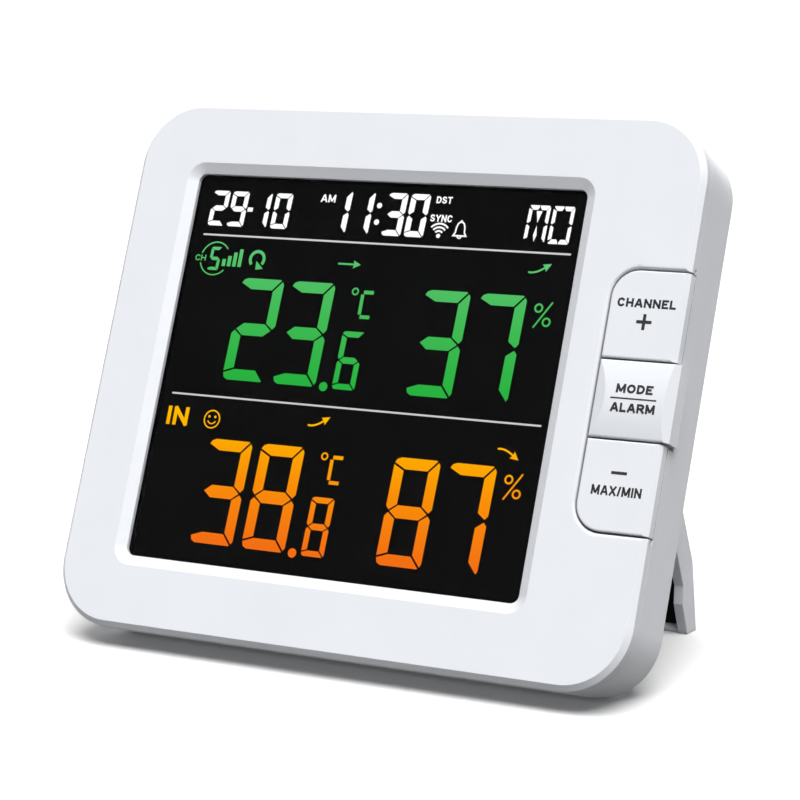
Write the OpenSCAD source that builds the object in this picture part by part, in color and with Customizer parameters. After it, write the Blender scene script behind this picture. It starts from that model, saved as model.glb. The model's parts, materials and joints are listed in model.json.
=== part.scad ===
// Desk thermometer and hygrometer with a colour display, side keys and a rear fold-out stand.
// Each piece is drawn upright in the case's own frame: X right, Y into the case from the front
// face, Z up the face, with the origin at the middle of the face. placed() leans it back.

/* [Case] */
// Width of the case across its front
case_w = 144.5; // [130:0.5:180]
// Height of the case up its front
case_h = 125.4; // [118:0.2:150]
// Depth from the front face to the rear rim
case_d = 19.2; // [18:0.2:24]
// Radius of the case's corners, seen from the front
corner_r = 14.8; // [12:0.2:18]
// Angle that the case leans back
lean = 21.25; // [15:0.25:30]
// Thickness of the moulded walls
wall = 2.2; // [1.8:0.1:2.6]
// Width of the bevel round the front face
bevel_w = 1.2; // [0.6:0.1:1.6]
// Depth of the bevel round the front face
bevel_d = 1.15; // [0.6:0.05:1.5]
// Depth of the joint line between the two shells
seam_y = 3.3; // [3:0.1:4]
// Amount that the rear shell draws in on each side
taper = 0.95; // [0.4:0.05:1.2]
// Height trimmed off the lower rear edge, which makes the flat that the case rests on
rest_cut = 0.35; // [0.2:0.05:0.5]

/* [Display] */
// Width of the display opening
window_w = 100.7; // [80:0.1:102]
// Height of the display opening
window_h = 91.5; // [75:0.5:92]
// Distance of the opening's middle to the left of the case's middle
window_shift = 5.4; // [4:0.1:6.6]
// Width of the bevel round the opening
window_bevel = 2.4; // [1:0.1:2.8]
// Depth of the bevel round the opening
window_bevel_d = 1.4; // [0.8:0.1:1.6]
// Thickness of the clear lens
lens_t = 0.8; // [0.6:0.1:1]

/* [Keys] */
// Width of the key column, from its left edge to the case's side
keys_w = 17.2; // [15:0.1:20]
// Height of the upper key's top above the middle
keys_top = 28.2; // [26:0.1:34]
// Height of the split above the middle key
split_top = 8.6; // [8:0.1:11]
// Depth of the split below the middle key
split_low = 8.7; // [7:0.1:10]
// Depth of the lower key's bottom below the middle
keys_low = 28.5; // [26:0.1:34]
// Radius of the key column's left corners
keys_r = 6; // [3:0.2:7]
// Gap round each key
key_gap = 0.4; // [0.2:0.05:0.4]
// Distance that a key can be pressed
key_travel = 0.4; // [0.3:0.05:0.5]
// Amount that the middle key stands proud of the side
mode_proud = 1.1; // [0.6:0.1:1.4]
// Rise of the middle key's crown above the face
mode_crown = 0.9; // [0.5:0.1:1.2]

/* [Battery housing] */
// Width of the raised housing and of the stand
back_w = 108; // [100:0.5:116]
// Depth of the raised housing behind the rear rim
back_d = 8.2; // [8:0.1:9]
// Diameter of a battery cell
cell_dia = 10.5; // [10:0.1:10.8]
// Length of a battery cell
cell_len = 44.5; // [43:0.5:46]
// Number of battery cells
cell_count = 3; // [2:1:3]

/* [Stand] */
// Height of the stand's hinge above the middle of the case
hinge_z = 17.3; // [14:0.1:17.4]
// Radius of the stand's hinge barrel
hinge_r = 3; // [2.6:0.1:3.2]
// Radius of the hinge pins
pin_r = 1.2; // [1:0.05:1.4]
// Angle from the back to the open stand
stand_open = 46.55; // [42:0.05:50]
// Thickness of the stand's plate and sides
stand_wall = 2.4; // [1.8:0.1:2.6]
// Depth of the stand's sides
stand_deep = 6.9; // [6.2:0.1:7.2]
// Angle between the stand's leg and its toe
toe_bend = 16.3; // [10:0.1:20]
// Length of the stand's toe
toe_len = 17.3; // [12:0.1:20]

/* [Hidden] */

gap = 0.1;                                  // fit between fixed pieces
slip = 0.2;                                 // fit between sliding pieces
eps = 1;                                    // overshoot of a cut

// Front shell, lens and display stack, as depths from the front face
face_t = 2.4;                               // front wall
tongue_t = 1;                               // lip that locates the two shells
tongue_d = 2;
seam_v = 0.25;                              // groove along the seam between the shells
lens_y = face_t;
lens_lap = 2;                               // how far the lens runs behind the wall
tape_t = 0.2;
glass_y = lens_y + lens_t + tape_t;
glass_t = 1.6;
guide_y = glass_y + glass_t;
guide_t = 2;
led_t = 1;
board_y = 9;
board_t = 1.6;
board_back = board_y + board_t;
strip_w = 2;                                // width of the rubber contact strip

// Case cavity
in_w = case_w - 2 * (taper + wall);
in_h = case_h - 2 * (taper + wall);
in_r = corner_r - taper - wall;
floor_y = case_d - wall;                    // inner face of the back wall

// Display stack outlines
lens_w = window_w + 2 * lens_lap;
lens_h = window_h + 2 * lens_lap;
rim = 0.2;                                  // room round the glass in its bracket
side_rim = 5;                               // width of the bracket's left and right bars
end_rim = 1.9;
bracket_w = lens_w + 2 * rim + 2 * side_rim;
bracket_h = lens_h + 2 * rim + 2 * end_rim;

// Keys
key_x = case_w / 2 - keys_w;
key_flange = 1.2;
key_flange_t = 0.8;
key_skirt = 1;                              // thickness of a key's side
key_end_y = seam_y;
side_x = case_w / 2 - taper - wall - slip;  // where the keys' inner parts stop short of the rear shell
key_round = 0.85;                           // rounding of the keys' opening
mode_end_y = 6.2;
lip_r = 0.6;                                // rounding at the back of the middle key's lip
key_cap = 1.6;                              // thickness of a level key's face
key_side = 1.4;                             // thickness of a level key's upper and lower walls
mode_slope = 2.8;                           // slope at the inner end of the middle key's crown
key_mid = [(keys_top + split_top) / 2, (split_top - split_low) / 2, -(keys_low + split_low) / 2];
stem_x = key_x + 8;
stem_r = 2;
switch_h = 4.1;                             // top of a switch's plunger above the board
switch_body = 3.4;
stem_y = board_y - switch_h - key_travel - 0.1;
switch_size = 6;

// Circuit board
board_left = -in_w / 2 + 5;
board_right = stem_x + 5;
board_h = bracket_h - 1;
screw_x = [-window_shift - lens_w / 2 - rim - side_rim / 2, -window_shift + lens_w / 2 + rim + side_rim / 2];
screw_z = bracket_h / 2 - 10;
board_screw_r = 1;

// Pieces on the board
chip_x = -5;
chip_z = -9;
chip_size = 14;
radio_x = -34;                              // middle of the radio's own board
radio_z = -32;
buzzer_x = 30;
buzzer_z = -30;
buzzer_r = 6;
inlet_z = -30;
sensor_low = 0.5;
sensor_h = 19;

// Vent slots behind the sensor
vent_count = 6;
vent_pitch = 2.2;
vent_h = 1.1;
vent_low = 4.3;

// Case screws
corner_screw_x = case_w / 2 - 9.25;
corner_screw_z = case_h / 2 - 9.2;
case_screw_r = 1.25;
screw_head_r = 2.6;
boss_r = 3;
boss_y = 9;                                 // where the front bosses meet the rear posts
head_y = 13.2;

// Battery housing
back_y = case_d + back_d;
back_low = hinge_z + hinge_r + 0.3;
back_high = case_h / 2 - 4.1;
back_r = 4;
bay_x = cell_len / 2 + 3.75;                // half length of the bay
plate_t = 0.5;                              // contact plates
cell_gap = 0.3;
cell_pitch = cell_dia + cell_gap;
bay_h = cell_count * cell_pitch + cell_gap;
tub_wall = 1.2;
bay_low = back_low + 2.2;
door_t = 1.7;
cell_y = back_y - door_t - 0.5 - cell_dia / 2;
bay_y = cell_y - cell_dia / 2 - cell_gap;   // floor of the bay
door_half = bay_x + 1.6;
door_rail = 1;
door_low = bay_low - 0.8;
spring_r = 3.4;
spring_wire = 0.4;
spring_turns = 3;
function cell_z(i) = bay_low + cell_gap + cell_dia / 2 + i * cell_pitch;
function flip(i) = i % 2 == 0 ? 1 : -1;     // alternate cells face opposite ways

// Hanging keyholes
hole_x = 43;
hole_z = back_high - 12;
hole_r = 3.6;
hole_slot_r = 1.7;
hole_run = 5.5;

// Stand
hinge_y = back_y - hinge_r;
pin_play = 0.06;
lug_t = 4.4;
lug_gap = 0.3;
lug_r = hinge_r - 0.1;
lug_x = back_w / 2 - stand_wall - lug_gap - lug_t;
pad_t = 0.8;
leg_tilt = stand_open - lean;
base_z = (case_h / 2 - taper) * cos(lean) + case_d * sin(lean) - rest_cut;
hinge_up = base_z + hinge_z * cos(lean) - hinge_y * sin(lean);
leg = (hinge_up + hinge_r * sin(leg_tilt) - toe_len * cos(leg_tilt - toe_bend)) / cos(leg_tilt);
toe_deep = 4.8;                             // depth of the stand's sides at the toe's tip
toe_rise = 9;                               // height over which the toe's sides taper
toe_y = hinge_r - toe_len * sin(toe_bend);  // outer tip of the toe, closed
toe_z = -leg - toe_len * cos(toe_bend);

// Place of the case's own frame in the part's frame
foot_y = hinge_y * cos(lean) + hinge_z * sin(lean) + hinge_r * cos(leg_tilt)
    + leg * sin(leg_tilt) + toe_len * sin(leg_tilt - toe_bend);
front_y = -(case_h / 2 - bevel_w) * sin(lean);
base_x = -mode_proud / 2;
base_y = -(foot_y + front_y) / 2;

// ---- helpers ----

module placed() {
    translate([base_x, base_y, base_z]) rotate([-lean, 0, 0]) children();
}

module above_ground() {
    difference() {
        children();
        translate([0, 0, -25]) cube([400, 400, 50], center = true);
    }
}

// An outline in X and Z, given depth from y0 to y1
module slab(y0, y1) {
    translate([0, y1, 0]) rotate([90, 0, 0]) linear_extrude(y1 - y0) children();
}

// An outline in Y and Z, run along X from x0 to x1
module bar(x0, x1) {
    translate([x0, 0, 0]) rotate([90, 0, 90]) linear_extrude(x1 - x0) children();
}

module round_rect(w, h, r) {
    square([w - 2 * r, h], center = true);
    square([w, h - 2 * r], center = true);
    for (sx = [-1, 1], sz = [-1, 1]) translate([sx * (w / 2 - r), sz * (h / 2 - r)]) circle(r, $fn = 64);
}

module block(x0, x1, y0, y1, z0, z1) {
    translate([x0, y0, z0]) cube([x1 - x0, y1 - y0, z1 - z0]);
}

// A round rod or hole along Y
module rod(x, z, r, y0, y1) {
    translate([x, y1, z]) rotate([90, 0, 0]) cylinder(r = r, h = y1 - y0, $fn = 48);
}

// A round rod or hole along X
module axle(y, z, r, x0, x1) {
    translate([x0, y, z]) rotate([0, 90, 0]) cylinder(r = r, h = x1 - x0, $fn = 48);
}

module at_corners() {
    for (sx = [-1, 1], sz = [-1, 1]) translate([sx * corner_screw_x, 0, sz * corner_screw_z]) children();
}

module at_board_screws() {
    for (x = screw_x, sz = [-1, 1]) translate([x, 0, sz * screw_z]) children();
}

module window_slab(w, h, r, y0, y1) {
    translate([-window_shift, 0, 0]) slab(y0, y1) round_rect(w, h, r);
}

module case_front_solid() {
    hull() {
        slab(0, 0.01) round_rect(case_w - 2 * bevel_w, case_h - 2 * bevel_w, corner_r - bevel_w);
        slab(bevel_d, seam_y) round_rect(case_w, case_h, corner_r);
    }
}

module case_rear_solid() {
    hull() {
        slab(seam_y, seam_y + 0.01)
            round_rect(case_w - 2 * seam_v, case_h - 2 * seam_v, corner_r - seam_v);
        slab(seam_y + seam_v, seam_y + seam_v + 0.01) round_rect(case_w, case_h, corner_r);
        slab(case_d - 0.01, case_d) round_rect(case_w - 2 * taper, case_h - 2 * taper, corner_r - taper);
    }
}

// Points round a quarter of a circle, or its corner alone when the radius is 0
function quarter(x, z, r, from) = r > 0
    ? [for (k = [0 : 16]) let (a = from + k * 90 / 16) [x + r * cos(a), z + r * sin(a)]] : [[x, z]];

// Outline of one key or of the whole column, run past the case's side, with its left corners rounded
module key_outline(z0, z1, low_r, high_r, grow) {
    x0 = key_x - grow;
    x1 = key_x + keys_w + 5;
    polygon(concat([[x1, z1]], quarter(x0 + high_r, z1 - high_r, high_r, 90),
        quarter(x0 + low_r, z0 + low_r, low_r, 180), [[x1, z0]]));
}

module key_column(grow) {
    key_outline(-keys_low - grow, keys_top + grow, keys_r + grow, keys_r + grow, grow);
}

// ---- casing ----

module front_shell() {
    color("whitesmoke") placed() difference() {
        union() {
            case_front_solid();
            slab(seam_y, seam_y + tongue_d) round_rect(in_w - 2 * gap, in_h - 2 * gap, in_r - gap);
            at_corners() rod(0, 0, boss_r, face_t - 0.2, boss_y);
        }
        difference() {
            slab(face_t, boss_y) round_rect(in_w - 2 * tongue_t, in_h - 2 * tongue_t, in_r - tongue_t);
            at_corners() rod(0, 0, boss_r, 0, boss_y + eps);
            at_board_screws() rod(0, 0, side_rim / 2 - 0.2, 0, glass_y - tape_t);
        }
        window_slab(window_w, window_h, 2, -eps, face_t + eps);
        hull() {
            window_slab(window_w, window_h, 2, window_bevel_d - 0.01, window_bevel_d);
            window_slab(window_w + 2 * window_bevel, window_h + 2 * window_bevel, 2 + window_bevel, -0.01, 0);
        }
        slab(-eps, seam_y + tongue_d + eps) key_column(key_gap);
        for (k = [0 : 2]) hull() {
            slab(key_round * (1 - cos(30 * k)) - 0.01, key_round * (1 - cos(30 * k)))
                key_column(key_gap + key_round * (1 - sin(30 * k)));
            slab(key_round * (1 - cos(30 * k + 30)), key_round * (1 - cos(30 * k + 30)) + 0.01)
                key_column(key_gap + key_round * (1 - sin(30 * k + 30)));
        }
        slab(face_t, seam_y + tongue_d + eps) key_column(key_flange + slip);
        at_corners() rod(0, 0, case_screw_r, 4, boss_y + eps);
        at_board_screws() rod(0, 0, board_screw_r, 1.4, boss_y);
    }
}

module rear_shell() {
    color("whitesmoke") above_ground() placed() difference() {
        union() {
            difference() {
                union() {
                    case_rear_solid();
                    translate([0, 0, (back_low + back_high) / 2])
                        slab(floor_y, back_y) round_rect(back_w, back_high - back_low, back_r);
                }
                slab(seam_y - eps, floor_y) round_rect(in_w, in_h, in_r);
                for (s = [-1, 1]) mirror([s < 0 ? 1 : 0, 0, 0])
                    block(door_half + 2.6, back_w / 2 - 2, floor_y - eps, back_y - 2,
                        back_low + 2, back_high - 2);
            }
            block(-bay_x - tub_wall, bay_x + tub_wall, bay_y - tub_wall, case_d,
                bay_low - tub_wall, bay_low + bay_h + tub_wall);
            at_corners() rod(0, 0, boss_r + 0.6, boss_y + gap, floor_y + 0.5);
            for (s = [-1, 1]) hinge_lug(s);
            for (z = [sensor_low + 1.5, sensor_low + sensor_h - 1.5])
                block(-in_w / 2 - 0.1, -in_w / 2 + 11, 13, floor_y + 0.5, z - 0.6, z + 0.6);
        }
        block(-bay_x, bay_x, bay_y, back_y + eps, bay_low, bay_low + bay_h);
        block(-door_half, door_half, back_y - door_t, back_y + eps, door_low, back_high + eps);
        block(-door_half - door_rail, door_half + door_rail, back_y - door_t, back_y - door_t + 0.8,
            door_low, back_high + eps);
        for (i = [0 : cell_count - 1], s = [-1, 1]) contact_tail(s, i, gap);
        at_corners() rod(0, 0, case_screw_r + 0.2, boss_y - eps, case_d + eps);
        at_corners() rod(0, 0, screw_head_r + 0.3, head_y, case_d + eps);
        for (s = [-1, 1]) keyhole(s);
        for (s = [-1, 1]) mirror([s < 0 ? 1 : 0, 0, 0])
            axle(hinge_y, hinge_z, pin_r + pin_play, lug_x - eps, lug_x + lug_t + eps);
        block(case_w / 2 - key_skirt - slip, case_w / 2 + eps, seam_y - eps, key_end_y + key_travel + 0.05,
            -keys_low - key_gap, keys_top + key_gap);
        block(case_w / 2 - key_skirt - slip, case_w / 2 + eps, seam_y - eps, mode_end_y + key_travel + 0.3,
            -split_low - key_gap, split_top + key_gap);
        inlet_outline(gap, -case_w / 2 - eps, -in_w / 2 + eps);
        for (k = [0 : vent_count - 1]) let (z = vent_low + vent_pitch * k)
            block(-in_w / 2 + 1.5, -in_w / 2 + 9.5, floor_y - eps, case_d + eps, z, z + vent_h);
    }
}

module hinge_lug(s) {
    mirror([s < 0 ? 1 : 0, 0, 0]) bar(lug_x, lug_x + lug_t) {
        translate([hinge_y, hinge_z]) circle(lug_r, $fn = 64);
        translate([floor_y + 0.5, hinge_z - lug_r]) square([hinge_y - floor_y - 0.5, 2 * lug_r]);
    }
}

module keyhole(s) {
    rod(s * hole_x, hole_z, hole_r, back_y - 2 - eps, back_y + eps);
    rod(s * hole_x, hole_z + hole_run, hole_slot_r, back_y - 2 - eps, back_y + eps);
    block(s * hole_x - hole_slot_r, s * hole_x + hole_slot_r, back_y - 2 - eps, back_y + eps,
        hole_z, hole_z + hole_run);
}

module case_screws() {
    color("silver") placed() at_corners() {
        rod(0, 0, case_screw_r, 4.4, head_y + 0.1);
        difference() {
            rod(0, 0, screw_head_r, head_y + 0.02, head_y + 2);
            for (a = [0, 90]) rotate([0, a, 0]) block(-1.5, 1.5, head_y + 1, head_y + 3, -0.3, 0.3);
        }
    }
}

// ---- display stack ----

module display_lens() {
    color([0.05, 0.05, 0.05, 0.6]) placed() window_slab(lens_w, lens_h, 3, lens_y, lens_y + lens_t);
}

module lens_tape() {
    color("black") placed() difference() {
        window_slab(lens_w, lens_h, 3, lens_y + lens_t, glass_y);
        window_slab(window_w - 1, window_h - 1, 1, lens_y, glass_y + eps);
    }
}

module lcd_glass() {
    color("black") placed() window_slab(lens_w, lens_h, 0.5, glass_y, guide_y);
}

module light_guide() {
    color("azure") placed() translate([-window_shift, 0, 0])
        block(-lens_w / 2 + led_t + gap, lens_w / 2, guide_y + 0.05, guide_y + guide_t,
            -lens_h / 2 + strip_w + gap, lens_h / 2);
}

module backlight_leds() {
    color("lightyellow") placed() translate([-window_shift - lens_w / 2, 0, 0]) {
        for (k = [-2 : 2]) block(0.1, led_t, guide_y + 0.1, guide_y + guide_t - 0.1,
            k * 16 - 1.8, k * 16 + 1.8);
        block(-0.15, 0.1, guide_y + 0.1, guide_y + guide_t - 0.1, -36, 36);
    }
}

module lcd_bracket() {
    color("white") placed() translate([-window_shift, 0, 0]) difference() {
        slab(glass_y - tape_t, board_y - 0.02) round_rect(bracket_w, bracket_h, 2);
        slab(0, guide_y + guide_t + 0.05) round_rect(lens_w + 2 * rim, lens_h + 2 * rim, 0.7);
        slab(0, board_y + eps) round_rect(lens_w - 16, lens_h - 16, 4);
        block(-window_w / 2 + 4, window_w / 2 - 4, 0, board_y + eps, -lens_h / 2 - rim,
            -lens_h / 2 + strip_w + gap);
        translate([window_shift, 0, 0]) at_board_screws() rod(0, 0, board_screw_r + 0.1, 0, board_y + eps);
    }
}

module contact_strip() {
    color("hotpink") placed() translate([-window_shift, 0, 0])
        block(-window_w / 2 + 4.3, window_w / 2 - 4.3, guide_y + 0.05, board_y - 0.05,
            -lens_h / 2, -lens_h / 2 + strip_w);
}

// ---- electronics ----

module main_board() {
    color("darkgreen") placed() difference() {
        block(board_left, board_right, board_y, board_back, -board_h / 2, board_h / 2);
        at_board_screws() rod(0, 0, board_screw_r + 0.15, 0, board_back + eps);
        at_corners() rod(0, 0, boss_r + 0.8, 0, board_back + eps);
    }
}

module board_screws() {
    color("silver") placed() at_board_screws() {
        rod(0, 0, board_screw_r, 1.8, board_back + 0.1);
        rod(0, 0, 1.9, board_back + 0.02, board_back + 1.4);
    }
}

module controller_chip() {
    color("black") placed() block(chip_x - chip_size / 2, chip_x + chip_size / 2, board_back + 0.02,
        board_back + 1.6, chip_z - chip_size / 2, chip_z + chip_size / 2);
}

module radio_module() {
    color("darkblue") placed() union() {
        block(radio_x - 12, radio_x + 12, board_back + 0.02, board_back + 1, radio_z - 8, radio_z + 8);
        block(radio_x - 9, radio_x + 4, board_back + 1, board_back + 3.2, radio_z - 6, radio_z + 5);
    }
}

module antenna_wire() {
    color("goldenrod") placed() wire([for (k = [0 : 96]) let (a = k * 360 / 12)
        [radio_x - 12.6 - k * 0.13, board_back + 2.2 + 1.8 * cos(a), radio_z + 1.8 * sin(a)]], 0.3);
}

module buzzer() {
    color("dimgray") placed() difference() {
        rod(buzzer_x, buzzer_z, buzzer_r, board_back + 0.02, board_back + 4.5);
        rod(buzzer_x, buzzer_z, 1, board_back + 3, board_back + 6);
    }
}

module climate_sensor() {
    color("seagreen") placed() union() {
        block(-in_w / 2 + 0.6, -in_w / 2 + 10.6, 11.95, 12.95,
            sensor_low, sensor_low + sensor_h);
        block(-in_w / 2 + 4, -in_w / 2 + 7, 12.95, 13.9,
            sensor_low + 8, sensor_low + 11);
    }
}

module inlet_outline(grow, x0, x1) {
    bar(x0, x1) translate([board_back + 1.64, inlet_z])
        round_rect(3.2 + 2 * grow, 8.9 + 2 * grow, 1.4 + grow);
}

module power_inlet() {
    x0 = -case_w / 2 + 1.4;
    color("silver") placed() union() {
        difference() {
            inlet_outline(0, x0, board_left + 5);
            bar(x0 - eps, board_left + 3) translate([board_back + 1.64, inlet_z]) round_rect(2.5, 8.2, 1.1);
        }
        block(x0 + 1.2, board_left + 4, board_back + 1.29, board_back + 1.99,
            inlet_z - 3, inlet_z + 3);
    }
}

module tact_switches() {
    color("darkslategray") placed() for (z = key_mid) {
        block(stem_x - switch_size / 2, stem_x + switch_size / 2, board_y - switch_body, board_y - 0.02,
            z - switch_size / 2, z + switch_size / 2);
        rod(stem_x, z, 1.7, board_y - switch_h, board_y - switch_body + 0.2);
    }
}

// ---- keys ----

module key_under(z0, z1, low_r, high_r, z) {
    difference() {
        slab(face_t + gap, face_t + gap + key_flange_t) key_outline(z0, z1, low_r, high_r, key_flange);
        block(side_x, case_w / 2 + 10, 0, 10, z0 - 1, z1 + 1);
    }
    rod(stem_x, z, stem_r, face_t, stem_y);
}

// A key level with the face, hollow behind, whose side closes the case's side
module flat_key(z0, z1, low_r, high_r, z) {
    color("white") placed() union() {
        difference() {
            intersection() {
                case_front_solid();
                slab(-eps, key_end_y) key_outline(z0, z1, low_r, high_r, 0);
            }
            block(key_x + 2, case_w / 2 - key_skirt, key_cap, seam_y + eps, z0 + key_side, z1 - key_side);
            block(side_x, case_w / 2 - key_skirt, key_end_y - key_travel - slip, seam_y + eps,
                z0 - 1, z1 + 1);
        }
        rod(stem_x, z, stem_r, key_cap - 0.1, face_t + gap);
        key_under(z0 - (low_r > 0 ? key_flange : 0), z1 + (high_r > 0 ? key_flange : 0),
            low_r > 0 ? low_r + key_flange : 0, high_r > 0 ? high_r + key_flange : 0, z);
    }
}

module key_up() {
    flat_key(split_top + key_gap / 2, keys_top, 0, keys_r, key_mid[0]);
}

module key_down() {
    flat_key(-keys_low, -split_low - key_gap / 2, keys_r, 0, key_mid[2]);
}

module key_mode() {
    z0 = -split_low + key_gap / 2;
    z1 = split_top - key_gap / 2;
    half = (z1 - z0) / 2;
    crown_r = (half * half + mode_crown * mode_crown) / (2 * mode_crown);
    x1 = case_w / 2 + mode_proud;
    back = face_t + gap;
    run = mode_end_y + mode_crown + 2;
    color("white") placed() union() {
        intersection() {
            bar(key_x, x1) intersection() {
                translate([crown_r - mode_crown, key_mid[1]]) circle(crown_r, $fn = 360);
                translate([mode_end_y - run / 2, key_mid[1]]) round_rect(run, z1 - z0, 1.2);
            }
            translate([0, 0, z0 - eps]) linear_extrude(z1 - z0 + 2 * eps)
                polygon(concat([[key_x, back], [key_x, 0], [key_x + mode_slope, -mode_crown],
                    [x1 - bevel_w - 0.7, -mode_crown], [x1, bevel_d]],
                    quarter(x1 - lip_r, mode_end_y - lip_r, lip_r, 0),
                    [[x1 - 2, mode_end_y], [x1 - 2, back]]));
        }
        key_under(z0, z1, 0, 0, key_mid[1]);
    }
}

// ---- batteries ----

module contact_tail(s, i, grow) {
    z = cell_z(i);
    x = s * (bay_x - plate_t / 2);
    block(x - plate_t / 2 - grow, x + plate_t / 2 + grow * (s > 0 ? 0 : 1), board_back,
        bay_y + 0.5, z - 2 - grow, z + 2 + grow);
}

module battery_contacts() {
    color("silver") placed() for (i = [0 : cell_count - 1], s = [-1, 1]) {
        x = s * (bay_x - plate_t / 2);
        z = cell_z(i);
        union() {
            block(x - plate_t / 2 + 0.02, x + plate_t / 2 - 0.02, bay_y + 0.1, cell_y + 4, z - 4, z + 4);
            block(x - plate_t / 2 + 0.02, x + plate_t / 2 - 0.02, board_back + 0.02, bay_y + 0.2,
                z - 2, z + 2);
        }
    }
}

module battery_springs() {
    steps = 12;
    x0 = bay_x - plate_t - 0.05;
    run = 2 * bay_x - 2 * plate_t - cell_len - 0.3;
    color("silver") placed() for (i = [0 : cell_count - 1]) translate([0, cell_y, cell_z(i)])
        mirror([flip(i) > 0 ? 0 : 1, 0, 0])
            wire([for (k = [0 : spring_turns * steps]) let (q = k / (spring_turns * steps), a = k * 360 / steps,
                r = spring_r * (1 - 0.45 * q))
                [x0 - spring_wire - (run - 2 * spring_wire) * q, r * cos(a), r * sin(a)]], spring_wire);
}

module battery_cells() {
    nub = 1.3;
    x0 = bay_x - plate_t - 0.05;
    color("royalblue") placed() for (i = [0 : cell_count - 1]) translate([0, cell_y, cell_z(i)])
        mirror([flip(i) > 0 ? 0 : 1, 0, 0]) {
            axle(0, 0, cell_dia / 2, -x0 + nub, -x0 + cell_len);
            axle(0, 0, 1.9, -x0, -x0 + nub + 0.1);
        }
}

module battery_door() {
    top = back_high - slip;
    color("whitesmoke") placed() union() {
        block(-door_half + slip, door_half - slip, back_y - door_t + 0.1, back_y, door_low + slip, top);
        block(-door_half - door_rail + slip, door_half + door_rail - slip, back_y - door_t + 0.1,
            back_y - door_t + 0.65, door_low + slip, top);
        for (k = [0 : 4]) block(-9, 9, back_y - 0.1, back_y + 0.5, top - 10 + 1.8 * k, top - 9.2 + 1.8 * k);
    }
}

// ---- stand ----

// Draws a child given in the closed stand's frame, with its origin on the hinge axis
module opened() {
    placed() translate([0, hinge_y, hinge_z]) rotate([stand_open, 0, 0]) children();
}

// Side outline of the stand from its outer face to a depth, which may differ at the toe's tip
module stand_side(deep, toe) {
    sb = sin(toe_bend);
    cb = cos(toe_bend);
    function from_toe(up, in) = [toe_y + up * sb - in * cb, toe_z + up * cb + in * sb];
    polygon([[hinge_r, 0], [hinge_r, -leg], from_toe(-eps, 0), from_toe(-eps, toe), from_toe(toe_rise, deep),
        [hinge_r - deep, -leg - (deep - stand_wall) / 2], [hinge_r - deep, -6],
        [min(0, hinge_r - deep + 1), 0]]);
}

module stand() {
    color("whitesmoke") above_ground() opened() difference() {
        union() {
            for (s = [-1, 1]) mirror([s < 0 ? 1 : 0, 0, 0]) bar(back_w / 2 - stand_wall, back_w / 2) {
                stand_side(stand_deep, toe_deep);
                circle(hinge_r, $fn = 64);
            }
            bar(-back_w / 2 + 0.5, back_w / 2 - 0.5) stand_side(stand_wall, stand_wall);
            bar(-lug_x + lug_gap, lug_x - lug_gap) circle(hinge_r, $fn = 64);
            bar(-back_w / 2 + 0.5, back_w / 2 - 0.5) intersection() {
                stand_side(stand_deep - 1, toe_deep - 0.6);
                translate([-10, toe_z - 2]) square([20, stand_wall + 2.6]);
            }
        }
        for (s = [-1, 1]) mirror([s < 0 ? 1 : 0, 0, 0])
            block(lug_x - lug_gap, lug_x + lug_t + lug_gap, -5, 5, -hinge_r - 1, 5);
        axle(0, 0, pin_r, -back_w / 2 - eps, back_w / 2 + eps);
    }
}

module stand_pad() {
    inset = back_w / 2 - stand_wall - 0.1;
    color("black") opened() bar(-inset, inset) difference() {
        stand_side(stand_wall + pad_t, stand_wall + pad_t);
        offset(delta = 0.02) stand_side(stand_wall, stand_wall);
        translate([-10, -5]) square([20, 10]);
        translate([-12, toe_z - 5]) square([20, stand_wall + 5.8]);
    }
}

module hinge_pins() {
    color("silver") opened() for (s = [-1, 1]) mirror([s < 0 ? 1 : 0, 0, 0])
        axle(0, 0, pin_r, lug_x + 0.1, back_w / 2 - 0.2);
}

// ---- a thin wire swept along points ----

function unit(v) = v / norm(v);
function tangent(p, i) = unit(p[min(i + 1, len(p) - 1)] - p[max(i - 1, 0)]);

module wire(path, r, sides = 6) {
    n = len(path);
    pts = [for (i = [0 : n - 1])
        let (t = tangent(path, i), a = unit(cross(t, [1, 0.001, 0])), b = cross(t, a))
        for (k = [0 : sides - 1]) path[i] + r * (cos(k * 360 / sides) * a + sin(k * 360 / sides) * b)];
    faces = concat([[for (k = [0 : sides - 1]) k]],
        [for (i = [0 : n - 2], k = [0 : sides - 1]) [i * sides + k, (i + 1) * sides + k,
            (i + 1) * sides + (k + 1) % sides, i * sides + (k + 1) % sides]],
        [[for (k = [sides - 1 : -1 : 0]) (n - 1) * sides + k]]);
    polyhedron(points = pts, faces = faces, convexity = 10);
}

front_shell();
rear_shell();
display_lens();
lens_tape();
lcd_glass();
light_guide();
backlight_leds();
lcd_bracket();
contact_strip();
main_board();
controller_chip();
radio_module();
antenna_wire();
buzzer();
climate_sensor();
power_inlet();
tact_switches();
key_up();
key_mode();
key_down();
battery_contacts();
battery_springs();
battery_cells();
battery_door();
case_screws();
board_screws();
stand();
stand_pad();
hinge_pins();
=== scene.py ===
"""Visual model of a desk thermometer and hygrometer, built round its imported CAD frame.

Lengths inside the classes are in millimetres, in the case's own upright frame: X right, Y into
the case from its front face, Z up the face. CaseSpace turns them into the row's metres.
"""

import json
import logging
import math
from dataclasses import dataclass, field
from enum import Enum
from typing import Callable, Optional, Sequence

import bmesh
import bpy
from mathutils import Matrix, Vector


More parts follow.
